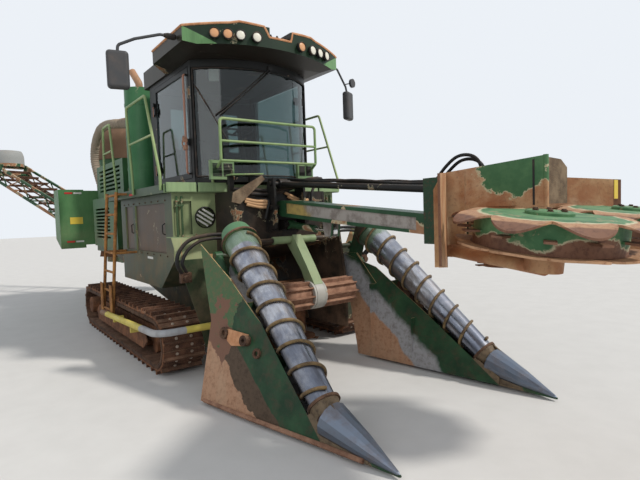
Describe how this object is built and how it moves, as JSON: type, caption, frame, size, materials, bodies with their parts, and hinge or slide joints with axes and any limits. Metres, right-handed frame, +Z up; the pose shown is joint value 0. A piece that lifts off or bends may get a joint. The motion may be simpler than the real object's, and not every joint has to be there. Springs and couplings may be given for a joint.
{
  "type": "tracked sugarcane harvester",
  "caption": "Tracked sugarcane chopper harvester with cab, topper, crop dividers with scrolls, extractor and side-swung elevator.",
  "frame": {"origin": "on the ground at the middle of the machine's overall box", "axes": "+X forwards, +Y to the machine's left, +Z up"},
  "size_m": [15.3946, 4.0194, 4.1534],
  "materials": {
    "harvester_green": "satin paint, dusty and worn",
    "worn_green": "paint worn through to rust",
    "pale_paint": "satin pale yellow-green paint",
    "rusty_steel": "rusty, dry",
    "bright_steel": "polished by the crop",
    "black_paint": "satin black",
    "cab_glass": "tinted, clear",
    "lamp_lens": "clear lens",
    "seat_fabric": "dark woven",
    "console_plastic": "matt black",
    "hood_plastic": "dusty brown",
    "grey_plastic": "dusty grey",
    "engine_iron": "painted castings"
  },
  "bodies": {
    "machine": {"air_cleaner": "black_paint", "cab_frame": "black_paint", "cab_glass": "cab_glass", "cab_roof": "harvester_green", "cabinets": "harvester_green", "chassis": "harvester_green", "console": "console_plastic", "cutter_legs": "rusty_steel", "deck": "harvester_green", "engine": "engine_iron", "engine_cover": "harvester_green", "exhaust": "rusty_steel", "extractor_base": "harvester_green", "front_rail": "pale_paint", "guard_tube": "pale_paint", "handrails": "pale_paint", "ladder": "rusty_steel", "mirrors": "black_paint", "rear_carrier": "harvester_green", "rear_tanks": "harvester_green", "roof_lamps": "lamp_lens", "seat": "seat_fabric", "topper_mast": "black_paint", "track_frame_left": "rusty_steel", "track_frame_right": "rusty_steel", "track_left": "rusty_steel", "track_right": "rusty_steel"},
    "cab_door": {"door_frame": "black_paint", "door_glass": "cab_glass"},
    "extractor_fan": {"extractor_fan": "rusty_steel"},
    "extractor_hood": {"extractor_hood": "hood_plastic"},
    "base_cutter_left": {"cutter_disc_left": "rusty_steel"},
    "base_cutter_right": {"cutter_disc_right": "rusty_steel"},
    "topper_lower_arm": {"topper_lower_arm": "worn_green"},
    "topper_upper_arm": {"topper_upper_arm": "worn_green"},
    "topper_head": {"topper_head": "worn_green"},
    "topper_ram_barrel": {"topper_ram_barrel": "worn_green"},
    "topper_ram_rod": {"topper_ram_rod": "bright_steel"},
    "topper_rotor_left": {"topper_rotor_left": "worn_green"},
    "topper_rotor_right": {"topper_rotor_right": "worn_green"},
    "topper_cutter": {"topper_cutter": "rusty_steel"},
    "knockdown_arm": {"knockdown_arm": "worn_green"},
    "knockdown_roller": {"knockdown_roller": "rusty_steel"},
    "elevator_table": {"elevator_table": "rusty_steel"},
    "elevator": {"elevator_frame": "worn_green", "elevator_chain": "rusty_steel"},
    "elevator_hood": {"elevator_hood": "grey_plastic"},
    "divider_left": {"divider_left": "worn_green"},
    "scroll_left": {"scroll_left": "bright_steel"},
    "divider_ram_barrel_left": {"divider_ram_barrel_left": "worn_green"},
    "divider_ram_rod_left": {"divider_ram_rod_left": "bright_steel"},
    "divider_right": {"divider_right": "worn_green"},
    "scroll_right": {"scroll_right": "bright_steel"},
    "divider_ram_barrel_right": {"divider_ram_barrel_right": "worn_green"},
    "divider_ram_rod_right": {"divider_ram_rod_right": "bright_steel"}
  },
  "joints": [
    {"name": "door_swing", "type": "hinge", "parent": "machine", "child": "cab_door", "pos_m": [1.51044, -0.42227, 2.186], "axis": [0, 0, -1], "range_deg": [0, 17]},
    {"name": "extractor_fan_spin", "type": "hinge", "parent": "machine", "child": "extractor_fan", "pos_m": [-2.28856, 0.44973, 3], "axis": [0, 0, 1], "continuous": true},
    {"name": "extractor_hood_turn", "type": "hinge", "parent": "machine", "child": "extractor_hood", "pos_m": [-2.28856, 0.44973, 3], "axis": [0, 0, 1], "range_deg": [-170, 170]},
    {"name": "base_cutter_right_spin", "type": "hinge", "parent": "machine", "child": "base_cutter_right", "pos_m": [3.20144, 0.11973, 0.13], "axis": [0, 0, 1], "continuous": true},
    {"name": "base_cutter_left_spin", "type": "hinge", "parent": "machine", "child": "base_cutter_left", "pos_m": [3.20144, 0.77973, 0.13], "axis": [0, 0, 1], "continuous": true},
    {"name": "topper_lift", "type": "hinge", "parent": "machine", "child": "topper_lower_arm", "pos_m": [3.59144, 0.44973, 1.85], "axis": [0, -1, 0], "range_deg": [-5, 38]},
    {"name": "topper_upper_arm_pivot", "type": "hinge", "parent": "machine", "child": "topper_upper_arm", "pos_m": [3.59144, 0.44973, 2.13], "axis": [0, -1, 0], "range_deg": [-5, 38]},
    {"name": "topper_head_pivot", "type": "hinge", "parent": "topper_lower_arm", "child": "topper_head", "pos_m": [5.97144, 0.44973, 1.645], "axis": [0, -1, 0], "range_deg": [-38, 5]},
    {"name": "topper_ram_pivot", "type": "hinge", "parent": "machine", "child": "topper_ram_barrel", "pos_m": [3.64144, 0.44973, 1.64], "axis": [0, -1, 0], "range_deg": [-6, 39.5]},
    {"name": "topper_ram_slide", "type": "slide", "parent": "topper_ram_barrel", "child": "topper_ram_rod", "axis": [0.9952, 0, -0.0983], "range_m": [-0.02, 0.145]},
    {"name": "topper_rotor_left_spin", "type": "hinge", "parent": "topper_head", "child": "topper_rotor_left", "pos_m": [7.15144, 1.00973, 1.712], "axis": [0.1219, 0, 0.9925], "continuous": true},
    {"name": "topper_rotor_right_spin", "type": "hinge", "parent": "topper_head", "child": "topper_rotor_right", "pos_m": [7.15144, -0.11027, 1.712], "axis": [0.1219, 0, 0.9925], "continuous": true},
    {"name": "topper_cutter_spin", "type": "hinge", "parent": "topper_head", "child": "topper_cutter", "pos_m": [6.51144, 0.44973, 1.33], "axis": [0, 0, 1], "continuous": true},
    {"name": "knockdown_swing", "type": "hinge", "parent": "machine", "child": "knockdown_arm", "pos_m": [3.71144, 0.44973, 1.46], "axis": [0, -1, 0], "range_deg": [-15, 20]},
    {"name": "knockdown_roller_spin", "type": "hinge", "parent": "knockdown_arm", "child": "knockdown_roller", "pos_m": [4.07144, 0.44973, 0.84], "axis": [0, 1, 0], "continuous": true},
    {"name": "elevator_slew", "type": "hinge", "parent": "machine", "child": "elevator_table", "pos_m": [-3.76856, 0.44973, 0.9], "axis": [0, 0, 1], "range_deg": [-115, 55]},
    {"name": "elevator_lift", "type": "hinge", "parent": "elevator_table", "child": "elevator", "pos_m": [-3.82052, 0.41973, 1.23], "axis": [-0.5, 0.866, 0], "range_deg": [-12, 20]},
    {"name": "elevator_hood_turn", "type": "hinge", "parent": "elevator", "child": "elevator_hood", "pos_m": [-7.29734, -1.58762, 3.38883], "axis": [0, 0, 1], "range_deg": [-170, 170]},
    {"name": "divider_left_lift", "type": "hinge", "parent": "machine", "child": "divider_left", "pos_m": [3.55144, 1.22473, 1.05], "axis": [0, -1, 0], "range_deg": [0, 12]},
    {"name": "scroll_left_spin", "type": "hinge", "parent": "divider_left", "child": "scroll_left", "pos_m": [4.09144, 1.35973, 1.49], "axis": [0.7793, 0.0623, -0.6235], "continuous": true},
    {"name": "divider_ram_left_pivot", "type": "hinge", "parent": "machine", "child": "divider_ram_barrel_left", "pos_m": [3.64144, 1.40973, 1.33], "axis": [0, -1, 0], "range_deg": [-1, 10.5]},
    {"name": "divider_ram_left_slide", "type": "slide", "parent": "divider_ram_barrel_left", "child": "divider_ram_rod_left", "axis": [0.6266, 0, -0.7794], "range_m": [-0.056, 0.002]},
    {"name": "divider_right_lift", "type": "hinge", "parent": "machine", "child": "divider_right", "pos_m": [3.55144, -0.32527, 1.05], "axis": [0, -1, 0], "range_deg": [0, 12]},
    {"name": "scroll_right_spin", "type": "hinge", "parent": "divider_right", "child": "scroll_right", "pos_m": [4.09144, -0.46027, 1.49], "axis": [0.7793, -0.0623, -0.6235], "continuous": true},
    {"name": "divider_ram_right_pivot", "type": "hinge", "parent": "machine", "child": "divider_ram_barrel_right", "pos_m": [3.64144, -0.51027, 1.33], "axis": [0, -1, 0], "range_deg": [-1, 10.5]},
    {"name": "divider_ram_right_slide", "type": "slide", "parent": "divider_ram_barrel_right", "child": "divider_ram_rod_right", "axis": [0.6266, 0, -0.7794], "range_m": [-0.056, 0.002]}
  ],
  "couplings": [
    {"joint": "base_cutter_left_spin", "follows": "base_cutter_right_spin", "ratio": -1},
    {"joint": "topper_upper_arm_pivot", "follows": "topper_lift", "ratio": 1},
    {"joint": "topper_head_pivot", "follows": "topper_lift", "ratio": -1},
    {"joint": "topper_ram_pivot", "follows": "topper_lift", "ratio": 1.0143},
    {"joint": "topper_ram_slide", "follows": "topper_lift", "m_per_rad": 0.21236},
    {"joint": "divider_ram_left_pivot", "follows": "divider_left_lift", "ratio": 0.77427},
    {"joint": "divider_ram_left_slide", "follows": "divider_left_lift", "m_per_rad": -0.25475},
    {"joint": "divider_ram_right_pivot", "follows": "divider_right_lift", "ratio": 0.77427},
    {"joint": "divider_ram_right_slide", "follows": "divider_right_lift", "m_per_rad": -0.25475}
  ]
}
